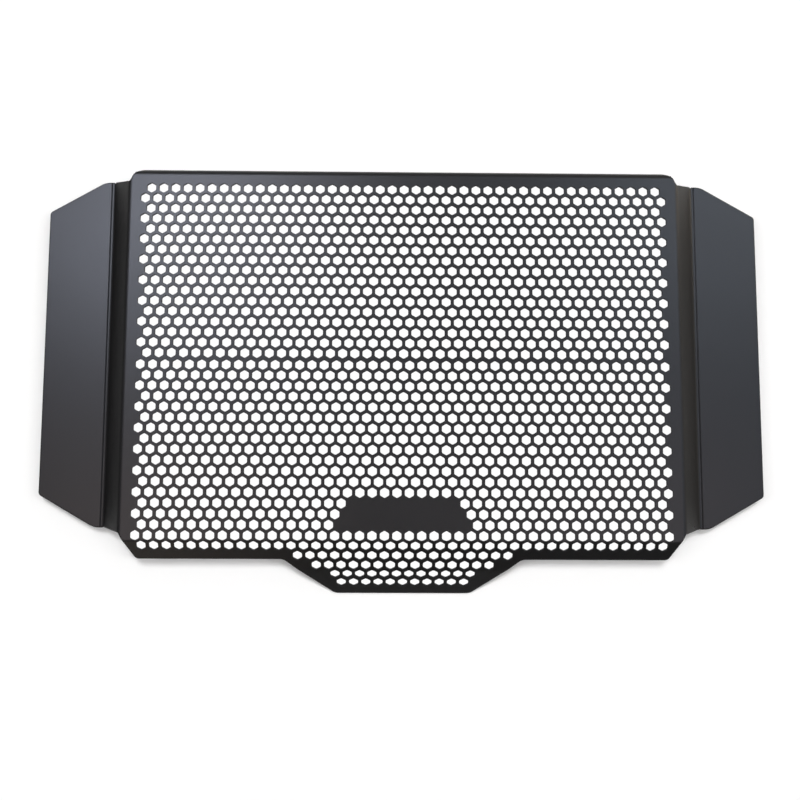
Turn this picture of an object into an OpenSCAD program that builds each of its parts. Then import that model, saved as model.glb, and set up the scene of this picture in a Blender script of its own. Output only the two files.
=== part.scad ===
// Radiator guard for a motorcycle: one perforated steel sheet, folded and powder coated.
// It lies face up. X runs across the guard, Y towards its top edge and Z out of its front face.
// The real sheet is perforated all over at the pitch of the lip. The panel is drawn with fewer,
// larger holes, in the same honeycomb and with about the same share of open area.

/* [Sheet] */
// Thickness of the sheet
sheet_t = 1.5; // [1:0.1:2.5]
// Radius inside each fold
bend_r = 2.5; // [1:0.5:4]

/* [Panel] */
// Width of the panel between its two side folds
panel_w = 319.4; // [280:0.1:360]
// Height of the panel between its top and bottom folds
panel_h = 215.4; // [190:0.1:240]
// Width cut off each top corner of the panel, inside the side fold
top_chamfer_w = 3.6; // [2:0.1:6]
// Height cut off each top corner of the panel, down to the side wall
top_chamfer_h = 7.5; // [5:0.1:10]
// Radius at each top corner of the panel
top_corner_r = 5; // [1:0.5:6]
// Distance from each side fold in to the end of the top flange
flange_inset = 9.2; // [4:0.1:14]

/* [Side walls and wings] */
// Overall width of the guard over its two wings
guard_w = 416; // [400:1:470]
// Angle at which each side wall slopes back from the panel
wall_angle = 40; // [20:1:60]
// Depth of the wings behind the front of the panel
wing_depth = 9; // [6:0.5:12]
// Distance from the top fold down to the top end of a wing
wing_top_gap = 5.8; // [3:0.1:12]
// Distance from the bottom fold up to the bottom end of a wing
wing_bottom_gap = 7.2; // [4:0.1:14]
// Width of the slanted part at each end of a wing
wing_slant_w = 32; // [20:0.5:34]
// Height of the slanted part at each end of a wing
wing_slant_h = 18.5; // [10:0.1:30]
// Radius where a slanted end starts
wing_shoulder_r = 10; // [4:1:14]
// Radius at the outer corners of a wing
wing_corner_r = 2.5; // [1:0.5:5]
// Distance from the side fold out to the corners where a wall's ends meet the panel's edges
wall_corner_out = 0.5; // [0.2:0.1:2]
// Radius of the inside corner where the panel's edge meets a side wall's top edge
wall_top_r = 2; // [1:0.5:3]
// Height of a side wall's lower corner above the bottom fold
wall_bottom_gap = 4.3; // [2:0.1:8]
// Radius of the corner where the lip's edge meets a side wall's bottom edge
wall_bottom_r = 0.5; // [0.5:0.1:2]
// Radius of the small notch at each end of a wing fold
notch_r = 0.8; // [0.5:0.1:1.5]

/* [Lip and chin] */
// Angle at which the lip slopes back from the panel
lip_angle = 26.5; // [15:0.5:35]
// Angle at which the chin slopes back from the panel
chin_angle = 37.5; // [30:0.5:50]
// Height of the lip beside the chin, from the bottom fold to its edge in front view
lip_h = 10.3; // [8:0.1:14]
// Width cut off each bottom corner, from the side fold to the lip's edge
lip_chamfer_w = 9.3; // [6:0.1:16]
// Radius at each bottom corner of the lip
lip_corner_r = 3; // [1:0.5:5]
// Distance along the sheet from the bottom fold to the fold across the chin
chin_fold = 18.2; // [14:0.1:24]
// Distance along the sheet from the fold across the chin to its bottom edge
chin_l = 17.2; // [12:0.1:24]
// Width of the chin where it leaves the lip
chin_w = 135.2; // [110:0.1:160]
// Width of the chin's bottom edge
chin_bottom_w = 77.4; // [60:0.1:90]
// Radius at the four corners of the chin
chin_corner_r = 5; // [2:0.5:8]

/* [Holes] */
// Distance between neighbouring holes on the panel
panel_pitch = 16; // [15.5:0.5:20]
// Width of the web between holes on the panel
panel_web = 3.9; // [2.5:0.1:5]
// Plain border beside the holes at the panel's side folds
side_border = 6; // [4:0.5:12]
// Plain border above the holes at the top fold
top_border = 8.5; // [6:0.5:14]
// Plain border below the holes at the bottom fold
bottom_border = 2; // [1.5:0.1:6]
// Distance between neighbouring holes on the lip and chin
lip_pitch = 7; // [6.8:0.1:9]
// Width of the web between holes on the lip and chin
lip_web = 1.7; // [1.2:0.1:3]
// Plain border beside the last hole in each row of the lip and chin
lip_border = 7.5; // [6:0.1:14]
// Plain border below the last row of holes on the chin
chin_border = 4; // [3:0.1:10]
// Width of the plain plate in the panel at its top edge
plate_top_w = 60; // [40:1:90]
// Width of the plain plate in the panel at its bottom edge
plate_bottom_w = 80; // [60:1:120]
// Height of the plain plate in the panel
plate_h = 18; // [12:0.5:30]
// Distance from the bottom fold up to the plain plate
plate_gap = 6; // [3:0.5:20]

/* [Hidden] */
// Largest angle between neighbouring points on an arc
arc_step = 14;
// How far each folded strip laps into the flat panel
lap = 0.3;
// How far a strip or a cutter runs past what it trims
spare = 1;
notch_steps = 24;
// Share of a row by which the last row of holes may run over its room
spare_row = 0.1;
outer_r = bend_r + sheet_t;
panel_x = panel_w / 2;
edge_x = guard_w / 2;

// Run of the side wall in front view, and the half width at the wing fold
wall_run = wing_depth / tan(wall_angle);
wing_x = panel_x + wall_run;

// Length of the panel's flat that the side, bottom and top folds take
side_take = outer_r * tan(wall_angle / 2);
lip_take = outer_r * tan(lip_angle / 2);
flat_x = panel_x - side_take;
flat_top = panel_h - outer_r;

// The chin's fold and edge: how far down from the bottom fold line, and how far out of the front face
chin_fold_at = chin_fold * [cos(lip_angle), -sin(lip_angle)];
chin_edge_at = chin_fold_at + chin_l * [cos(chin_angle), -sin(chin_angle)];

// Heights in front view, from the bottom fold line
chin_fold_y = -chin_fold_at[0];
chin_edge_y = -chin_edge_at[0];
wing_top_y = panel_h - wing_top_gap;
wing_bottom_y = wing_bottom_gap;
wall_top_y = panel_h - top_chamfer_h;
wall_corner_x = panel_x + wall_corner_out;

// Half width of the top flange, and the depth in its bend at which it narrows to that
flange_x = panel_x - flange_inset;
flange_z = -outer_r / 2;

// Depth of the chin's edge, which is also the depth of the top flange, so the guard lies level
guard_d = sheet_t * cos(chin_angle) - chin_edge_at[1];

// The upright cutters, from behind the guard to in front of it
cut_z = -guard_d - spare;
cut_h = guard_d + 2 * spare;

// Points on an arc of radius r that rounds the corner b between the sides to a and c
function corner(a, b, c, r) =
    let (
        to_a = (a - b) / norm(a - b),
        to_c = (c - b) / norm(c - b),
        half = acos(to_a * to_c) / 2,
        middle = b + (to_a + to_c) / norm(to_a + to_c) * r / sin(half),
        start = b + to_a * r / tan(half) - middle,
        finish = b + to_c * r / tan(half) - middle,
        first = atan2(start[1], start[0]),
        turn = (atan2(finish[1], finish[0]) - first + 540) % 360 - 180,
        steps = ceil(abs(turn) / arc_step)
    )
    [for (i = [0 : steps]) middle + r * [cos(first + turn * i / steps), sin(first + turn * i / steps)]];

// Closed outline whose corners [x, y, r] are rounded to the radius r
function rounded(corners) =
    let (n = len(corners), flat = [for (p = corners) [p[0], p[1]]])
    [for (i = [0 : n - 1])
        each corners[i][2] > 0
            ? corner(flat[(i + n - 1) % n], flat[i], flat[(i + 1) % n], corners[i][2])
            : [flat[i]]];

// The same corners on the other side of the middle, in the reverse order
function mirrored(corners) =
    [for (i = [len(corners) - 1 : -1 : 0]) [-corners[i][0], corners[i][1], corners[i][2]]];

// Unit normal on the left of the way from a to b
function left_of(a, b) = [a[1] - b[1], b[0] - a[0]] / norm(b - a);

// Section of a folded strip of sheet, from its fold lines along the front face
function strip(front) =
    let (
        last = len(front) - 1,
        sides = [for (i = [0 : last - 1]) left_of(front[i], front[i + 1])],
        before = [for (i = [0 : last]) sides[max(i - 1, 0)]],
        after = [for (i = [0 : last]) sides[min(i, last - 1)]],
        // Above zero where the sheet folds away from its front face
        bend = [for (i = [0 : last]) after[i][0] * before[i][1] - after[i][1] * before[i][0]],
        back = [for (i = [0 : last])
            front[i] - sheet_t * (before[i] + after[i]) / (1 + before[i] * after[i])],
        front_r = [for (b = bend) abs(b) < 0.001 ? 0 : b > 0 ? outer_r : bend_r],
        back_r = [for (b = bend) abs(b) < 0.001 ? 0 : b > 0 ? bend_r : outer_r]
    )
    rounded(concat(
        [for (i = [0 : last]) [front[i][0], front[i][1], front_r[i]]],
        [for (i = [last : -1 : 0]) [back[i][0], back[i][1], back_r[i]]]
    ));

// Right half of the guard's outline in front view, from the top down
right_side = [
    [panel_x - top_chamfer_w, panel_h, top_corner_r],
    [wall_corner_x, wall_top_y, wall_top_r],
    [wing_x, wing_top_y, 0],
    [edge_x - wing_slant_w, wing_top_y, wing_shoulder_r],
    [edge_x, wing_top_y - wing_slant_h, wing_corner_r],
    [edge_x, wing_bottom_y + wing_slant_h, wing_corner_r],
    [edge_x - wing_slant_w, wing_bottom_y, wing_shoulder_r],
    [wing_x, wing_bottom_y, 0],
    [wall_corner_x, wall_bottom_gap, wall_bottom_r],
    [panel_x - lip_chamfer_w, -lip_h, lip_corner_r],
    [chin_w / 2, -lip_h, chin_corner_r],
    [chin_bottom_w / 2, chin_edge_y, chin_corner_r]
];
outline = rounded(concat(right_side, mirrored(right_side)));

// Half width of the chin at a height in front view
function chin_half(y) =
    let (share = (y - chin_edge_y) / (-lip_h - chin_edge_y))
    (chin_bottom_w + (chin_w - chin_bottom_w) * share) / 2;

// Half width of the plain plate at a height in front view
function plate_half(y) =
    let (share = (y - plate_gap) / plate_h)
    (plate_bottom_w + (plate_top_w - plate_bottom_w) * share) / 2;

// A hexagon with two upright sides
module hexagon(across) {
    rotate(30) circle(r = across / sqrt(3), $fn = 6);
}

// Honeycomb of hexagons in the panel, clear of its borders and its plain plate
module panel_holes() {
    across = panel_pitch - panel_web;
    tall = across * 2 / sqrt(3);
    row_step = panel_pitch * sqrt(3) / 2;
    low = bottom_border + tall / 2;
    room = panel_h - top_border - tall / 2 - low;
    rows = floor(room / row_step) + 1;
    start = low + (room - (rows - 1) * row_step) / 2;
    side = panel_x - side_border - across / 2;
    for (row = [0 : rows - 1]) {
        y = start + row * row_step;
        odd = row % 2;
        columns = floor((side - odd * panel_pitch / 2) / panel_pitch);
        near_plate = y > plate_gap - tall / 2 && y < plate_gap + plate_h + tall / 2;
        for (column = [-columns - odd : columns]) {
            x = (column + odd / 2) * panel_pitch;
            if (!near_plate || abs(x) > plate_half(y) + across / 2) {
                translate([x, y]) hexagon(across);
            }
        }
    }
}

// One centred row of hexagons that keeps its border inside a half width
module row_of_holes(half, odd) {
    across = lip_pitch - lip_web;
    columns = floor((half - lip_border - across / 2) / lip_pitch - odd / 2);
    for (column = [-columns - odd : columns]) {
        translate([(column + odd / 2) * lip_pitch, 0]) hexagon(across);
    }
}

// Rows of hexagons from a fold downwards, the first one half a step below the fold. The first row
// on the lip runs its whole width, and the others stay within the chin.
module rows_below_fold(fold_y, angle, room, first_row, whole_width) {
    row_step = lip_pitch * sqrt(3) / 2;
    rows = floor(room / row_step + spare_row);
    for (row = [0 : rows - 1]) {
        down = (row + 0.5) * row_step;
        half = whole_width && row == 0 ? flat_x : chin_half(fold_y - down * cos(angle));
        translate([0, -down]) row_of_holes(half, (first_row + row) % 2);
    }
}

// The flat perforated panel, up to its four folds
module panel() {
    translate([0, 0, -sheet_t])
        linear_extrude(sheet_t)
            difference() {
                intersection() {
                    translate([-flat_x, lip_take]) square([2 * flat_x, flat_top - lip_take]);
                    polygon(outline);
                }
                panel_holes();
            }
}

// The flange folded straight back from the top edge
module top_fold() {
    translate([-flat_x, 0, 0])
        rotate([90, 0, 90])
            linear_extrude(2 * flat_x)
                polygon(strip([[flat_top - lap, 0], [panel_h, 0], [panel_h, -guard_d]]));
}

// What is cut off the right end of the top flange, which is shorter than the panel
module flange_end() {
    translate([flange_x, flat_top - spare, cut_z])
        cube([flange_inset + spare, outer_r + 2 * spare, flange_z - cut_z]);
}

// The lip and the chin below the bottom fold
module bottom_fold() {
    difference() {
        translate([flat_x, 0, 0])
            rotate([90, 0, -90])
                linear_extrude(2 * flat_x)
                    polygon(strip([[-lip_take - lap, 0], [0, 0], chin_fold_at, chin_edge_at]));
        lip_holes();
        chin_holes();
    }
}

// Cutters square to the lip, from the bottom fold down to the fold across the chin
module lip_holes() {
    rotate([lip_angle, 0, 0])
        translate([0, 0, -2 * sheet_t])
            linear_extrude(3 * sheet_t)
                rows_below_fold(0, lip_angle, chin_fold, 0, true);
}

// Cutters square to the chin, below the fold across it
module chin_holes() {
    translate([0, chin_fold_y, chin_fold_at[1]])
        rotate([chin_angle, 0, 0])
            translate([0, 0, -2 * sheet_t])
                linear_extrude(3 * sheet_t)
                    rows_below_fold(chin_fold_y, chin_angle, chin_l - chin_border, 1, false);
}

// The right side wall, sloping back, and the wing outside it
module side_fold() {
    front = [[flat_x - lap, 0], [panel_x, 0], [wing_x, -wing_depth], [edge_x + spare, -wing_depth]];
    translate([0, panel_h, 0])
        rotate([90, 0, 0])
            linear_extrude(panel_h - lip_take)
                polygon(strip(front));
}

// The notch at each end of the right wing fold
module notches() {
    for (y = [wing_bottom_y, wing_top_y]) {
        translate([wing_x, y, cut_z]) cylinder(r = notch_r, h = cut_h, $fn = notch_steps);
    }
}

// The whole sheet, in one piece
module guard_sheet() {
    color([0.16, 0.16, 0.17])
        translate([0, -(panel_h + chin_edge_y) / 2, guard_d]) {
            panel();
            difference() {
                intersection() {
                    union() {
                        top_fold();
                        bottom_fold();
                        side_fold();
                        mirror([1, 0, 0]) side_fold();
                    }
                    translate([0, 0, cut_z]) linear_extrude(cut_h) polygon(outline);
                }
                flange_end();
                mirror([1, 0, 0]) flange_end();
                notches();
                mirror([1, 0, 0]) notches();
            }
        }
}

guard_sheet();
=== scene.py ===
# Motorcycle radiator guard: the whole perforated sheet, folded and powder coated, on a pale floor.
# Lengths are in millimetres until the finished mesh is scaled to metres.

import math

import bmesh
import bpy
from mathutils import Matrix, Vector


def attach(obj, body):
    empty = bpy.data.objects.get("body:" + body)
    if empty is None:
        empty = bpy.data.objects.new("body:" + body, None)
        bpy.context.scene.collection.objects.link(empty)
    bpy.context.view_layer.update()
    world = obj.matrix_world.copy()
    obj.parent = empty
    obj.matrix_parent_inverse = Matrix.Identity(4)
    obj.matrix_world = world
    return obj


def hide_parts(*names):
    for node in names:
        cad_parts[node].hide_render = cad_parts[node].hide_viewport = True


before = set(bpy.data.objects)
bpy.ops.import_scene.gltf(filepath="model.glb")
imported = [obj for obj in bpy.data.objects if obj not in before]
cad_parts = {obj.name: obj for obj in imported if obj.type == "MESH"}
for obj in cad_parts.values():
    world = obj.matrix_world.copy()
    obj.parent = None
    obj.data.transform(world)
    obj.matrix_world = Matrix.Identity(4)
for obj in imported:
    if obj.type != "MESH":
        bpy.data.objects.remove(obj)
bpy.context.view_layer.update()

# Sheet
SHEET = 1.5
BEND_INSIDE = 2.5
BEND_OUTSIDE = BEND_INSIDE + SHEET
HOLE_RIM_EASE = 0.15
HOLE_RIM_STEPS = 1
OUTER_EDGE_EASE = 0.6
OUTER_EDGE_STEPS = 3

# Panel, between its four fold lines
PANEL_X = 159.7
PANEL_H = 215.4
TOP_CHAMFER_W = 2.9
TOP_CHAMFER_H = 7.5
FLANGE_INSET = 9.2
FLANGE_MITRE = 3.2

# Side walls and wings, in front view
EDGE_X = 208.0
WALL_ANGLE = math.radians(40)
WING_DEPTH = 9.0
WALL_CORNER_OUT = 0.5
WALL_BOTTOM = 4.3
WING_TOP_GAP = 5.8
WING_TOP = PANEL_H - WING_TOP_GAP
WING_BOTTOM = 7.2
SLANT_W = 32.0
SLANT_H = 18.5
NOTCH = 0.8

# Radius at each kind of corner of the outline
FLANGE_CORNER_R = 1.0
MITRE_R = 1.5
TOP_CORNER_R = 2.0
NOTCH_R = 0.2
NOTCH_ROOT_R = 0.5
WING_INNER_R = 10.0
WING_OUTER_R = 2.5
LIP_ROOT_R = 0.5
LIP_CORNER_R = 3.0
CHIN_R = 5.0

# Lip and chin
LIP_ANGLE = math.radians(26.5)
CHIN_ANGLE = math.radians(37.5)
LIP_H = 10.3
LIP_CHAMFER_W = 9.3
CHIN_FOLD = 18.2
CHIN_L = 17.2
CHIN_X = 67.6
CHIN_BOTTOM_X = 38.7

# Honeycomb. Row 0 lies above the wide web, and rows are numbered downwards from it.
PITCH = 7.0
WEB = 1.85
HOLE_CORNER = 0.35
ROW_STEP = PITCH * math.sqrt(3) / 2
WIDE_WEB = 0.7
TOP_ROW = -16
LAST_PANEL_ROW = 17
EVEN_ROW = 43
ODD_ROW = 44

# Holes in each row of the lip and the chin, and holes that the plain plate takes out of a row
LOWER_ROWS = {18: 43, 19: 18, 20: 15, 21: 12, 22: 11}
PLATE_ROWS = {14: 9, 15: 10, 16: 11}

# Where the folded sheet lies
CHIN_EDGE_Y = -(CHIN_FOLD * math.cos(LIP_ANGLE) + CHIN_L * math.cos(CHIN_ANGLE))
GUARD_D = (
    CHIN_FOLD * math.sin(LIP_ANGLE) + CHIN_L * math.sin(CHIN_ANGLE) + SHEET * math.cos(CHIN_ANGLE)
)

# The wing fold along the flat sheet, and the wing's edge
WALL_L = WING_DEPTH / math.sin(WALL_ANGLE)
WING_X = PANEL_X + WALL_L
WALL_RUN = WING_DEPTH / math.tan(WALL_ANGLE)
FLAT_EDGE_X = EDGE_X + WALL_L - WALL_RUN


def lip_flat(y):
    """Height on the flat sheet of a height on the lip in front view."""
    return y / math.cos(LIP_ANGLE)


# Corners down the right side of the flat sheet: x, y and the radius that rounds each one
RIGHT_SIDE = [
    (PANEL_X - FLANGE_INSET, PANEL_H + GUARD_D, FLANGE_CORNER_R),
    (PANEL_X - FLANGE_INSET, PANEL_H + FLANGE_MITRE, MITRE_R),
    (PANEL_X - TOP_CHAMFER_W, PANEL_H - TOP_CHAMFER_W / 2, TOP_CORNER_R),
    (PANEL_X + WALL_CORNER_OUT, PANEL_H - TOP_CHAMFER_H, TOP_CORNER_R),
    (WING_X - NOTCH, WING_TOP, NOTCH_R),
    (WING_X, WING_TOP - NOTCH, NOTCH_ROOT_R),
    (WING_X + NOTCH, WING_TOP, NOTCH_R),
    (FLAT_EDGE_X - SLANT_W, WING_TOP, WING_INNER_R),
    (FLAT_EDGE_X, WING_TOP - SLANT_H, WING_OUTER_R),
    (FLAT_EDGE_X, WING_BOTTOM + SLANT_H, WING_OUTER_R),
    (FLAT_EDGE_X - SLANT_W, WING_BOTTOM, WING_INNER_R),
    (WING_X + NOTCH, WING_BOTTOM, NOTCH_R),
    (WING_X, WING_BOTTOM + NOTCH, NOTCH_ROOT_R),
    (WING_X - NOTCH, WING_BOTTOM, NOTCH_R),
    (PANEL_X + WALL_CORNER_OUT, WALL_BOTTOM, LIP_ROOT_R),
    (PANEL_X - LIP_CHAMFER_W, lip_flat(-LIP_H), LIP_CORNER_R),
    (CHIN_X, lip_flat(-LIP_H), CHIN_R),
    (CHIN_BOTTOM_X, -CHIN_FOLD - CHIN_L, CHIN_R),
]
CORNER_STEPS = 6

# How close two points must be to count as one
CELL_JOIN = 0.01
CUT_JOIN = 0.002
HOLE_NEAR = 1.0


def row_height(row):
    """Height of a row of holes above the bottom fold line on the flat sheet."""
    height = (LAST_PANEL_ROW + 0.5 - row) * ROW_STEP
    return height + WIDE_WEB if row <= 0 else height


def row_places(row):
    """Where the holes of a row lie along X."""
    if row in LOWER_ROWS:
        count = LOWER_ROWS[row]
    else:
        count = ODD_ROW if row % 2 else EVEN_ROW
    places = [(k - (count - 1) / 2) * PITCH for k in range(count)]
    plain = PLATE_ROWS.get(row, 0) * PITCH / 2
    return [x for x in places if not plain or abs(x) > plain]


def hexagon(bm, across, corner=0.0):
    """A loop of edges round a hexagon with two upright sides."""
    ring = bmesh.ops.create_circle(bm, segments=6, radius=across / math.sqrt(3), cap_ends=True)
    face = ring["verts"][0].link_faces[0]
    if corner:
        bmesh.ops.bevel(
            bm, geom=ring["verts"], offset=corner, segments=1, profile=0.5,
            affect="VERTICES", material=-1,
        )
        face = max(bm.faces, key=lambda each: len(each.verts))
    edges = list(face.edges)
    bmesh.ops.delete(bm, geom=[face], context="FACES_ONLY")
    return edges


def cell_mesh():
    """One cell of the honeycomb: the web around one hole."""
    bm = bmesh.new()
    hole = hexagon(bm, PITCH - WEB, HOLE_CORNER)
    edge = hexagon(bm, PITCH)
    bmesh.ops.bridge_loops(bm, edges=hole + edge)
    bmesh.ops.recalc_face_normals(bm, faces=bm.faces[:])
    mesh = bpy.data.meshes.new("cell")
    bm.to_mesh(mesh)
    bm.free()
    return mesh


def add_honeycomb(bm):
    """Every cell in its place, joined to its neighbours."""
    cell = cell_mesh()
    for row in range(TOP_ROW, max(LOWER_ROWS) + 1):
        y = row_height(row)
        for x in row_places(row):
            known = len(bm.verts)
            bm.from_mesh(cell)
            bm.verts.ensure_lookup_table()
            bmesh.ops.translate(bm, vec=(x, y, 0), verts=bm.verts[known:])
    bpy.data.meshes.remove(cell)
    bmesh.ops.remove_doubles(bm, verts=bm.verts[:], dist=CELL_JOIN)


def add_outline(bm):
    """The flat sheet's outline, as a loop of edges with rounded corners."""
    left_side = [(-x, y, radius) for x, y, radius in reversed(RIGHT_SIDE)]
    corners = RIGHT_SIDE + left_side
    verts = [bm.verts.new((x, y, 0)) for x, y, radius in corners]
    bm.faces.new(verts)
    count = len(corners)
    for k, vert in enumerate(verts):
        back = Vector(corners[k - 1][:2]) - Vector(corners[k][:2])
        ahead = Vector(corners[(k + 1) % count][:2]) - Vector(corners[k][:2])
        half = back.angle(ahead) / 2
        bmesh.ops.bevel(
            bm, geom=[vert], offset=corners[k][2] / math.tan(half), segments=CORNER_STEPS,
            profile=0.5, affect="VERTICES", material=-1,
        )
    face = max(bm.faces, key=lambda each: len(each.verts))
    edges = list(face.edges)
    bmesh.ops.delete(bm, geom=[face], context="FACES_ONLY")
    return edges


def flat_sheet():
    """The flat perforated sheet, one face thick."""
    bm = bmesh.new()
    add_honeycomb(bm)
    # The honeycomb's outer border: its edges are longer than any side of a hole
    hole_side = (PITCH - WEB) / math.sqrt(3)
    cell_side = PITCH / math.sqrt(3)
    least = (hole_side + cell_side) / 2
    borders = [edge for edge in bm.edges if edge.is_boundary and edge.calc_length() > least]
    outline = add_outline(bm)
    bmesh.ops.triangle_fill(bm, edges=borders + outline, use_beauty=True, normal=(0, 0, 1))
    bmesh.ops.recalc_face_normals(bm, faces=bm.faces[:])
    if sum(face.normal.z for face in bm.faces) < 0:
        bmesh.ops.reverse_faces(bm, faces=bm.faces[:])
    return bm


def cut_across(bm, axis, place):
    """A line of edges straight across the flat sheet, where it will bend."""
    point = Vector()
    normal = Vector()
    point[axis] = place
    normal[axis] = 1
    geom = bm.verts[:] + bm.edges[:] + bm.faces[:]
    bmesh.ops.bisect_plane(bm, geom=geom, dist=CUT_JOIN, plane_co=point, plane_no=normal)


# The line pressed into the front of the sheet along each wing fold
CREASE_OUT = 1.7
CREASE_X = WING_X + CREASE_OUT
CREASE_W = 0.5
CREASE_DEPTH = 0.4

# Each fold: axis across it, side of the middle, place on the flat sheet, angle, steps round it.
# The fold farthest out comes first. A fold towards the front has an angle below zero.
FOLDS = [
    (0, 1, WING_X, -WALL_ANGLE, 8),
    (0, -1, WING_X, -WALL_ANGLE, 8),
    (0, 1, PANEL_X, WALL_ANGLE, 8),
    (0, -1, PANEL_X, WALL_ANGLE, 8),
    (1, -1, CHIN_FOLD, CHIN_ANGLE - LIP_ANGLE, 3),
    (1, -1, 0.0, LIP_ANGLE, 6),
    (1, 1, PANEL_H, math.pi / 2, 12),
]

# How far beyond each fold one more line is cut, which keeps the flats flat
FLAT_MARGIN = 0.4


def front_radius(angle):
    """Radius of the front face in a fold, below zero where its centre is in front."""
    return BEND_OUTSIDE if angle > 0 else -BEND_INSIDE


def cut_folds(bm):
    """The lines that each fold bends along, one more on either side of it, and those of the crease."""
    for axis, side, place, angle, steps in FOLDS:
        take = front_radius(angle) * math.tan(angle / 2)
        lines = [place - take + 2 * take * k / steps for k in range(steps + 1)]
        for line in [lines[0] - FLAT_MARGIN] + lines + [lines[-1] + FLAT_MARGIN]:
            cut_across(bm, axis, side * line)
    for side in (-1, 1):
        for step in (-1, 0, 1):
            cut_across(bm, 0, side * (CREASE_X + step * CREASE_W))


def press_crease(bm):
    """Sink the line beside each wing fold into the front face."""
    for vert in bm.verts:
        if vert.co.z > -SHEET / 2 and abs(abs(vert.co.x) - CREASE_X) < CREASE_W / 2:
            vert.co.z -= CREASE_DEPTH


def bend(bm, axis, side, place, angle):
    """Fold everything past a line: first round the arc, then straight on."""
    radius = front_radius(angle)
    take = radius * math.tan(angle / 2)
    for vert in bm.verts:
        past = side * vert.co[axis] - place + take
        if past <= 0:
            continue
        turn = angle * min(past / (2 * take), 1)
        straight = max(past - 2 * take, 0)
        along = (radius + vert.co.z) * math.sin(turn) + straight * math.cos(turn)
        out = (radius + vert.co.z) * math.cos(turn) - radius - straight * math.sin(turn)
        vert.co[axis] = side * (place - take + along)
        vert.co.z = out


def near_hole(middle, away):
    """Whether a rim belongs to a hole: going away from its wall leads to the hole's centre."""
    centre = middle + away * (PITCH - WEB) / 2
    row = round(LAST_PANEL_ROW + 0.5 - centre.y / ROW_STEP)
    for near in (row - 1, row, row + 1):
        if near < TOP_ROW or near > max(LOWER_ROWS):
            continue
        if abs(row_height(near) - centre.y) > HOLE_NEAR:
            continue
        if any(abs(x - centre.x) < HOLE_NEAR for x in row_places(near)):
            return True
    return False


# A face counts as upright, or as eased, when its normal rises less than this
UPRIGHT = 0.5
EASED = 0.9
SHARP_ANGLE = math.radians(12)
METRES = 0.001


def thicken(bm):
    """Give the flat sheet its back and its cut edges."""
    flat = bm.verts[:] + bm.edges[:] + bm.faces[:]
    wall = bmesh.ops.extrude_face_region(bm, geom=flat, use_keep_orig=True)
    back = [item for item in wall["geom"] if isinstance(item, bmesh.types.BMVert)]
    bmesh.ops.translate(bm, vec=(0, 0, -SHEET), verts=back)
    bmesh.ops.recalc_face_normals(bm, faces=bm.faces[:])


def ease_rims(bm):
    """Ease the front rim of every hole and both rims of the outline."""
    hole_rims = []
    outer_rims = []
    for edge in bm.edges:
        upright = [face for face in edge.link_faces if abs(face.normal.z) < UPRIGHT]
        if len(upright) != 1 or len(edge.link_faces) != 2:
            continue
        middle = (edge.verts[0].co + edge.verts[1].co) / 2
        if near_hole(middle, upright[0].normal):
            if middle.z > -SHEET / 2:
                hole_rims.append(edge)
        else:
            outer_rims.append(edge)
    for edges, ease, steps in (
        (hole_rims, HOLE_RIM_EASE, HOLE_RIM_STEPS),
        (outer_rims, OUTER_EDGE_EASE, OUTER_EDGE_STEPS),
    ):
        bmesh.ops.bevel(
            bm, geom=edges, offset=ease, segments=steps, profile=0.5,
            affect="EDGES", material=-1, clamp_overlap=False,
        )


def make_guard(materials):
    """The whole sheet: cut flat, given its thickness, eased at its rims and folded."""
    bm = flat_sheet()
    cut_folds(bm)
    thicken(bm)
    ease_rims(bm)
    for face in bm.faces:
        face.smooth = True
        face.material_index = 1 if abs(face.normal.z) < EASED else 0

    press_crease(bm)
    for axis, side, place, angle, steps in FOLDS:
        bend(bm, axis, side, place, angle)
    bmesh.ops.translate(bm, vec=(0, -(PANEL_H + CHIN_EDGE_Y) / 2, GUARD_D), verts=bm.verts[:])
    bmesh.ops.scale(bm, vec=(METRES, METRES, METRES), verts=bm.verts[:])

    mesh = bpy.data.meshes.new("perforated_sheet")
    bm.to_mesh(mesh)
    bm.free()
    mesh.set_sharp_from_angle(angle=SHARP_ANGLE)
    for material in materials:
        mesh.materials.append(material)
    piece = bpy.data.objects.new("perforated_sheet", mesh)
    bpy.context.collection.objects.link(piece)
    return piece


# Materials: the powder coating's fine pits, and its slow drift of colour and gloss
PIT_DETAIL = 3.0
PIT_ROUGHNESS = 0.6
PIT_SHARE = 0.5
PIT_DEPTH = 0.00005
DRIFT_SCALE = 22.0
DRIFT_DETAIL = 2.0
NOISE_MIDDLE = 0.5


def math_node(tree, operation, *inputs):
    """The result of a Math node whose inputs are numbers or what other nodes put out."""
    node = tree.nodes.new("ShaderNodeMath")
    node.operation = operation
    for socket, given in zip(node.inputs, inputs):
        if isinstance(given, bpy.types.NodeSocket):
            tree.links.new(given, socket)
        else:
            socket.default_value = given
    return node.outputs[0]


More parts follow.
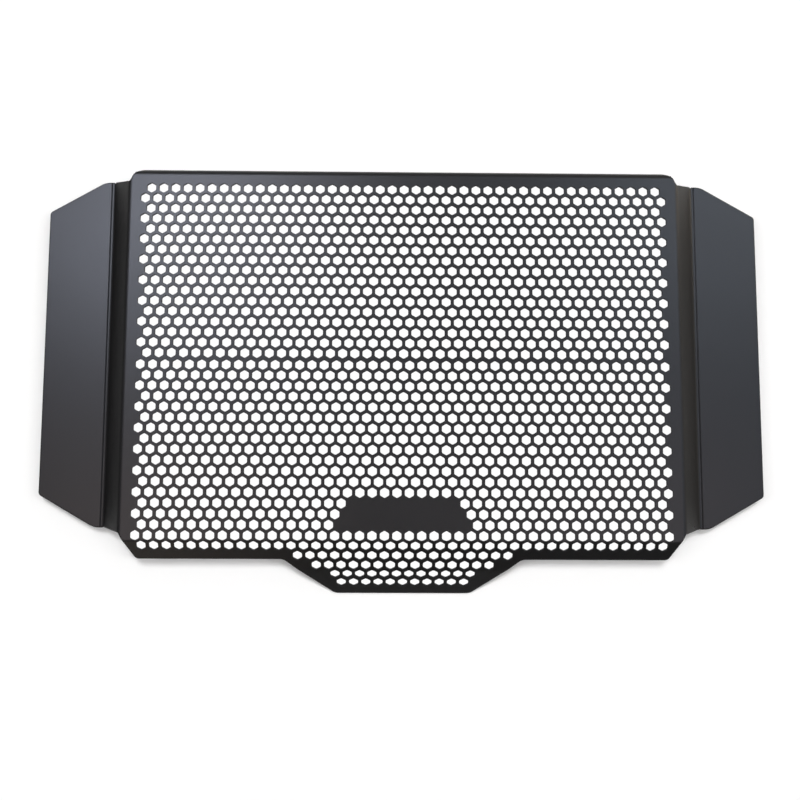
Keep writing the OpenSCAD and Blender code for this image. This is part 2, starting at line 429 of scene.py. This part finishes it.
def coat_group():
    """The grain of powder coating: fine pits, and a slow drift of colour and gloss."""
    tree = bpy.data.node_groups.new("powder_coat_grain", "ShaderNodeTree")
    for name, way, kind in (
        ("Colour", "INPUT", "NodeSocketColor"),
        ("Light Colour", "INPUT", "NodeSocketColor"),
        ("Roughness", "INPUT", "NodeSocketFloat"),
        ("Roughness Drift", "INPUT", "NodeSocketFloat"),
        ("Grain Size", "INPUT", "NodeSocketFloat"),
        ("Colour", "OUTPUT", "NodeSocketColor"),
        ("Roughness", "OUTPUT", "NodeSocketFloat"),
        ("Height", "OUTPUT", "NodeSocketFloat"),
    ):
        tree.interface.new_socket(name, in_out=way, socket_type=kind)
    given = tree.nodes.new("NodeGroupInput").outputs
    result = tree.nodes.new("NodeGroupOutput").inputs
    place = tree.nodes.new("ShaderNodeTexCoord").outputs["Object"]

    # A noise's scale is one over its grain's size in metres
    pits = tree.nodes.new("ShaderNodeTexNoise")
    pits.inputs["Detail"].default_value = PIT_DETAIL
    pits.inputs["Roughness"].default_value = PIT_ROUGHNESS
    tree.links.new(place, pits.inputs["Vector"])
    tree.links.new(math_node(tree, "DIVIDE", 1.0, given["Grain Size"]), pits.inputs["Scale"])
    drift = tree.nodes.new("ShaderNodeTexNoise")
    drift.inputs["Scale"].default_value = DRIFT_SCALE
    drift.inputs["Detail"].default_value = DRIFT_DETAIL
    tree.links.new(place, drift.inputs["Vector"])
    slow = math_node(tree, "MULTIPLY", drift.outputs["Fac"], 1 - PIT_SHARE)
    both = math_node(tree, "MULTIPLY_ADD", pits.outputs["Fac"], PIT_SHARE, slow)

    colour = tree.nodes.new("ShaderNodeMix")
    colour.data_type = "RGBA"
    tree.links.new(both, colour.inputs["Factor"])
    tree.links.new(given["Colour"], colour.inputs["A"])
    tree.links.new(given["Light Colour"], colour.inputs["B"])
    tree.links.new(colour.outputs["Result"], result["Colour"])

    centred = math_node(tree, "SUBTRACT", both, NOISE_MIDDLE)
    rough = math_node(tree, "MULTIPLY_ADD", centred, given["Roughness Drift"], given["Roughness"])
    tree.links.new(rough, result["Roughness"])
    tree.links.new(pits.outputs["Fac"], result["Height"])
    return tree


def new_material(name):
    """A material with nothing in it yet, and its node tree."""
    material = bpy.data.materials.new(name)
    material.use_nodes = True
    material.node_tree.nodes.clear()
    return material, material.node_tree


def coated(name, group, dark, light, roughness, drift, grain_size, bump):
    """Black powder coating with its own colours, gloss and grain."""
    material, tree = new_material(name)
    shader = tree.nodes.new("ShaderNodeBsdfPrincipled")
    output = tree.nodes.new("ShaderNodeOutputMaterial")
    tree.links.new(shader.outputs["BSDF"], output.inputs["Surface"])
    coat = tree.nodes.new("ShaderNodeGroup")
    coat.node_tree = group
    coat.inputs["Colour"].default_value = dark + (1,)
    coat.inputs["Light Colour"].default_value = light + (1,)
    coat.inputs["Roughness"].default_value = roughness
    coat.inputs["Roughness Drift"].default_value = drift
    coat.inputs["Grain Size"].default_value = grain_size
    tree.links.new(coat.outputs["Colour"], shader.inputs["Base Color"])
    tree.links.new(coat.outputs["Roughness"], shader.inputs["Roughness"])
    grain_bump = tree.nodes.new("ShaderNodeBump")
    grain_bump.inputs["Strength"].default_value = bump
    grain_bump.inputs["Distance"].default_value = PIT_DEPTH
    tree.links.new(coat.outputs["Height"], grain_bump.inputs["Height"])
    tree.links.new(grain_bump.outputs["Normal"], shader.inputs["Normal"])
    return material


def pale_material(name, level, shade):
    """Pale surface that also glows for the camera and in reflections. With some shade it keeps a soft
    shadow; with no shade and full glow it is painted light that hides the shadow falling on it.
    """
    material, tree = new_material(name)
    white = tree.nodes.new("ShaderNodeBsdfDiffuse")
    white.inputs["Color"].default_value = (shade, shade, shade, 1)
    glow = tree.nodes.new("ShaderNodeEmission")
    glow.inputs["Color"].default_value = (1, 1, 1, 1)
    rays = tree.nodes.new("ShaderNodeLightPath").outputs
    seen = math_node(tree, "MAXIMUM", rays["Is Camera Ray"], rays["Is Glossy Ray"])
    seen = math_node(tree, "MAXIMUM", seen, rays["Is Transmission Ray"])
    tree.links.new(math_node(tree, "MULTIPLY", seen, level), glow.inputs["Strength"])
    both = tree.nodes.new("ShaderNodeAddShader")
    tree.links.new(white.outputs["BSDF"], both.inputs[0])
    tree.links.new(glow.outputs["Emission"], both.inputs[1])
    output = tree.nodes.new("ShaderNodeOutputMaterial")
    tree.links.new(both.outputs["Shader"], output.inputs["Surface"])
    return material


powder_grain = coat_group()
face_coat = coated(
    "satin_black_powder_coat", powder_grain, dark=(0.005, 0.005, 0.0052), light=(0.008, 0.0078, 0.0082),
    roughness=0.38, drift=0.1, grain_size=0.0006, bump=0.25,
)
edge_coat = coated(
    "coated_cut_edge", powder_grain, dark=(0.003, 0.003, 0.003), light=(0.005, 0.005, 0.005),
    roughness=0.8, drift=0.1, grain_size=0.0004, bump=0.35,
)

guard = make_guard([face_coat, edge_coat])
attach(guard, "root")
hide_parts("guard_sheet")

# Floor, and a glowing card under the holes: painted light that keeps them white where the floor lies in
# the guard's shadow.
# The card leans up towards the flange, so that no hole shows the flange.
FLOOR_SIZE = 0.6
FLOOR_DROP = 0.0003
FLOOR_GLOW = 0.05
FLOOR_SHADE = 0.9
CARD_LOW = -0.0001
CARD_HIGH = 0.008
# Painted light: the card glows white for the camera and in reflections, and takes no shadow
CARD_PAINTED_LIGHT = 1.0
CARD_SHADE = 0.0
CARD_X = 0.160
CARD_WIDE_X = 0.165
CARD_WIDE_BOTTOM = -0.084
CARD_WIDE_TOP = 0.108
CARD_TOP_X = 0.154
CARD_TOP = 0.1205
CARD_BOTTOM = -0.0995
CARD_CORNER = 0.0055
CHIN_CARD_X = 0.066
CHIN_CARD_BOTTOM_X = 0.042
CHIN_CARD_BOTTOM = -0.1195
CARD_SIDE = [
    (CHIN_CARD_BOTTOM_X, CHIN_CARD_BOTTOM),
    (CHIN_CARD_X, CARD_BOTTOM),
    (CARD_X - CARD_CORNER, CARD_BOTTOM),
    (CARD_X, CARD_BOTTOM + CARD_CORNER),
    (CARD_WIDE_X, CARD_WIDE_BOTTOM),
    (CARD_WIDE_X, CARD_WIDE_TOP),
    (CARD_TOP_X, CARD_TOP),
]


def stage_piece(name, corners, material):
    """A flat piece of the set, face up."""
    mesh = bpy.data.meshes.new(name)
    bm = bmesh.new()
    bm.faces.new([bm.verts.new(corner) for corner in corners])
    bm.to_mesh(mesh)
    bm.free()
    mesh.materials.append(material)
    piece = bpy.data.objects.new(name, mesh)
    bpy.context.collection.objects.link(piece)


def floor_corner(x, y):
    """A corner of the floor, from the signs of its X and Y."""
    return x * FLOOR_SIZE, y * FLOOR_SIZE, -FLOOR_DROP


def card_corner(x, y):
    """A corner of the card at its place in front view."""
    rise = (y - CHIN_CARD_BOTTOM) / (CARD_TOP - CHIN_CARD_BOTTOM)
    return x, y, CARD_LOW + (CARD_HIGH - CARD_LOW) * rise


stage_piece(
    "floor",
    [floor_corner(-1, -1), floor_corner(1, -1), floor_corner(1, 1), floor_corner(-1, 1)],
    pale_material("pale_floor", FLOOR_GLOW, FLOOR_SHADE),
)
stage_piece(
    "painted_light_card",
    [card_corner(x, y) for x, y in CARD_SIDE] + [card_corner(-x, y) for x, y in reversed(CARD_SIDE)],
    pale_material("painted_light_card", CARD_PAINTED_LIGHT, CARD_SHADE),
)

# Camera: above the middle of the guard, a little below it and left, and turned slightly
CAMERA_AT = Vector((-0.0105, -0.0818, 0.6146))
CAMERA_AIM = Vector((-0.0020, -0.0127, 0.0198))
CAMERA_ROLL = math.radians(0.21)
CAMERA_LENS = 47.25
CAMERA_SENSOR = 36
camera_data = bpy.data.cameras.new("camera")
camera_data.lens = CAMERA_LENS
camera_data.sensor_width = CAMERA_SENSOR
camera = bpy.data.objects.new("camera", camera_data)
bpy.context.collection.objects.link(camera)
camera_back = (CAMERA_AT - CAMERA_AIM).normalized()
camera_right = Vector((0, 1, 0)).cross(camera_back).normalized()
camera_axes = Matrix((camera_right, camera_back.cross(camera_right), camera_back)).transposed()
camera.matrix_world = (
    Matrix.Translation(CAMERA_AT) @ camera_axes.to_4x4() @ Matrix.Rotation(CAMERA_ROLL, 4, "Z")
)
bpy.context.scene.camera = camera


def softbox(name, at, aim, width, height, power, colour):
    """A flat lamp that faces its aim and isn't seen by the camera."""
    data = bpy.data.lights.new(name, "AREA")
    data.shape = "RECTANGLE"
    data.size = width
    data.size_y = height
    data.energy = power
    data.color = colour
    lamp = bpy.data.objects.new(name, data)
    bpy.context.collection.objects.link(lamp)
    lamp.location = at
    lamp.rotation_euler = (Vector(aim) - Vector(at)).to_track_quat("-Z", "Y").to_euler()
    lamp.visible_camera = False
    return lamp


# Softboxes that show only in the satin coat. Name, place, aim, width, height, power and colour
for name, at, aim, width, height, power, colour in (
    ("upper_left_softbox", (-0.31, 0.27, 0.62), (-0.1, 0.05, 0.0), 0.22, 0.22, 1.57, (0.77, 0.83, 1.0)),
    ("top_left_softbox", (-0.19, 0.36, 0.62), (-0.08, 0.1, 0.0), 0.16, 0.16, 0.85, (0.85, 0.86, 1.0)),
    ("upper_right_softbox", (0.42, 0.36, 0.75), (0.12, 0.05, 0.0), 0.3, 0.3, 1.3, (0.71, 0.82, 1.0)),
    ("right_panel", (0.52, -0.05, 0.6), (0.05, 0.0, 0.0), 0.45, 0.7, 0.45, (0.5, 0.7, 1.0)),
    ("near_left_softbox", (-0.3, -0.15, 0.7), (-0.1, -0.05, 0.0), 0.25, 0.25, 0.52, (1.0, 0.82, 0.8)),
    ("near_right_softbox", (0.3, -0.15, 0.7), (0.1, -0.05, 0.0), 0.25, 0.25, 0.37, (1.0, 0.8, 0.8)),
    ("front_low_softbox", (-0.4, -0.75, 0.45), (-0.1, -0.05, 0.0), 0.35, 0.3, 0.4, (1.0, 0.84, 0.7)),
    ("right_low_panel", (0.9, 0.0, 0.2), (0.1, 0.0, 0.0), 0.3, 0.6, 0.17, (1.0, 0.85, 0.65)),
    ("right_back_softbox", (0.7, 0.5, 0.2), (0.1, 0.05, 0.0), 0.3, 0.3, 2.6, (1.0, 0.88, 0.72)),
):
    shine = softbox(name, at, aim, width, height, power, colour)
    shine.visible_diffuse = False

# Fill light, which casts the soft shadows: one lamp high behind the top edge, two high at the sides.
# Name, place, width, height and power
WHITE = (1.0, 1.0, 1.0)
for name, at, width, height, power in (
    ("high_back_light", (0.0, 2.2, 8.0), 1.8, 1.8, 345.0),
    ("left_fill_light", (-3.0, 0.0, 5.2), 1.2, 4.0, 98.0),
    ("right_fill_light", (3.0, 0.0, 5.2), 1.2, 4.0, 98.0),
):
    fill = softbox(name, at, (0.0, 0.0, 0.0), width, height, power, WHITE)
    fill.visible_glossy = False

# Room: dim, darkest to the front and left, and white behind the set for the camera
ROOM_LEVEL = 0.13
ROOM_SLOPE = (0.12, 0.15, 0.06)
ROOM_LEAST = 0.01
ROOM_COLOUR = (1.0, 0.96, 0.94)


def make_room():
    """The world round the set."""
    world = bpy.data.worlds.new("studio")
    world.use_nodes = True
    tree = world.node_tree
    tree.nodes.clear()
    way = tree.nodes.new("ShaderNodeTexCoord")
    slope = tree.nodes.new("ShaderNodeVectorMath")
    slope.operation = "DOT_PRODUCT"
    slope.inputs[1].default_value = ROOM_SLOPE
    tree.links.new(way.outputs["Generated"], slope.inputs[0])
    level = math_node(tree, "ADD", slope.outputs["Value"], ROOM_LEVEL)
    room = tree.nodes.new("ShaderNodeBackground")
    room.inputs["Color"].default_value = ROOM_COLOUR + (1,)
    tree.links.new(math_node(tree, "MAXIMUM", level, ROOM_LEAST), room.inputs["Strength"])
    backdrop = tree.nodes.new("ShaderNodeBackground")
    backdrop.inputs["Color"].default_value = (1, 1, 1, 1)
    rays = tree.nodes.new("ShaderNodeLightPath")
    mix = tree.nodes.new("ShaderNodeMixShader")
    tree.links.new(rays.outputs["Is Camera Ray"], mix.inputs["Fac"])
    tree.links.new(room.outputs["Background"], mix.inputs[1])
    tree.links.new(backdrop.outputs["Background"], mix.inputs[2])
    output = tree.nodes.new("ShaderNodeOutputWorld")
    tree.links.new(mix.outputs["Shader"], output.inputs["Surface"])
    return world


bpy.context.scene.world = make_room()
bpy.context.scene.view_settings.view_transform = "Standard"
